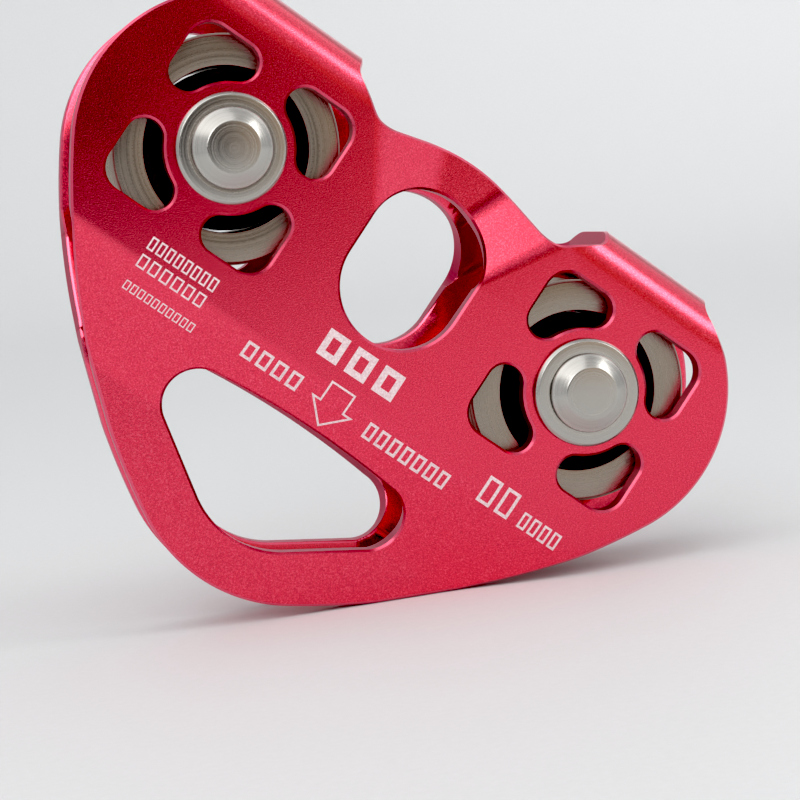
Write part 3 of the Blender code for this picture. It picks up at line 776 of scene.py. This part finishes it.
def softbox(name, at, aim, size, power, beam=180.0):
    data = bpy.data.lights.new(name, "AREA")
    data.shape = "RECTANGLE"
    data.size, data.size_y = size
    data.energy = power
    data.spread = math.radians(beam)
    ob = bpy.data.objects.new(name, data)
    ob.location = at
    ob.rotation_euler = (Vector(aim) - Vector(at)).to_track_quat("-Z", "Y").to_euler()
    bpy.context.scene.collection.objects.link(ob)


def world():
    # an even fill light; what the metal mirrors has a dim gap straight in front, where the
    # room is, and a warm wall beside it
    w = bpy.data.worlds.new("studio")
    bpy.context.scene.world = w
    w.use_nodes = True
    tree = w.node_tree
    back = tree.nodes["Background"]
    back.inputs["Strength"].default_value = 1.0
    coord = node(tree, "ShaderNodeTexCoord")
    split = node(tree, "ShaderNodeSeparateXYZ")
    tree.links.new(coord.outputs["Generated"], split.inputs["Vector"])
    x, y, z = (split.outputs[k] for k in "XYZ")
    room = tint(tree, spread(tree, x, 0.0, 1.0, -1.0, 1.0),
                [(0.10, (0.80, 0.80, 0.82)), (0.30, (0.040, 0.036, 0.042)),
                 (0.575, (0.050, 0.045, 0.050)), (0.600, (0.62, 0.52, 0.44)),
                 (0.645, (0.66, 0.48, 0.32)), (0.72, (0.62, 0.42, 0.26)),
                 (0.84, (0.85, 0.82, 0.78))])
    above = tint(tree, spread(tree, z, 0.0, 1.0, 0.0, 1.0),
                 [(0.0, (0.72, 0.72, 0.74)), (0.70, (0.88, 0.88, 0.88)),
                  (0.97, (0.40, 0.40, 0.42))])
    front = blended(tree, spread(tree, y, 0.0, 1.0, -0.70, -0.25), room, (0.64, 0.65, 0.67))
    mirrored = blended(tree, spread(tree, z, 0.0, 1.0, 0.20, 0.44), front, above)
    path = node(tree, "ShaderNodeLightPath")
    even = blended(tree, path.outputs["Is Camera Ray"], (0.64, 0.645, 0.65), (0.80, 0.81, 0.82))
    light = blended(tree, path.outputs["Is Glossy Ray"], even, mirrored)
    tree.links.new(light, back.inputs["Color"])


def blended(tree, share, first, second):
    n = node(tree, "ShaderNodeMix", data_type="RGBA")
    tree.links.new(share, n.inputs[0])
    for socket, value in ((n.inputs[6], first), (n.inputs[7], second)):
        if isinstance(value, tuple):
            socket.default_value = (*value, 1.0)
        else:
            tree.links.new(value, socket)
    return n.outputs[2]


def camera():
    data = bpy.data.cameras.new("view")
    data.lens, data.sensor_width = 104.75, 36.0
    data.clip_start, data.clip_end = 0.01, 20.0
    ob = bpy.data.objects.new("view", data)
    ob.location = (-0.0698, -0.3209, 0.05976)
    ob.rotation_euler = [math.radians(a) for a in (84.255, 6.912, -12.814)]
    bpy.context.scene.collection.objects.link(ob)
    bpy.context.scene.camera = ob


sweep()
softbox("front_low", (-0.35, -0.95, 0.42), (-0.04, -0.74, 0), (0.5, 0.4), 2.0)
softbox("front_top", (-0.35, -0.50, 0.95), (0, 0, 0.04), (1.2, 1.0), 3.5)
softbox("right_strip", (0.70, -0.42, 0.46), (0.03, 0, 0.04), (0.30, 0.45), 1.4)
softbox("top", (0.15, 0.25, 1.0), (0, 0, 0.04), (1.3, 1.1), 0.9)
softbox("backdrop_wash", (0.9, 0.1, 0.9), (0.6, 1.05, 0.3), (0.5, 0.5), 0.9, beam=80.0)
world()
camera()
tone = bpy.context.scene.view_settings
tone.view_transform = "Standard"
tone.use_curve_mapping = True
tone.curve_mapping.black_level = (0.04, 0.04, 0.04)
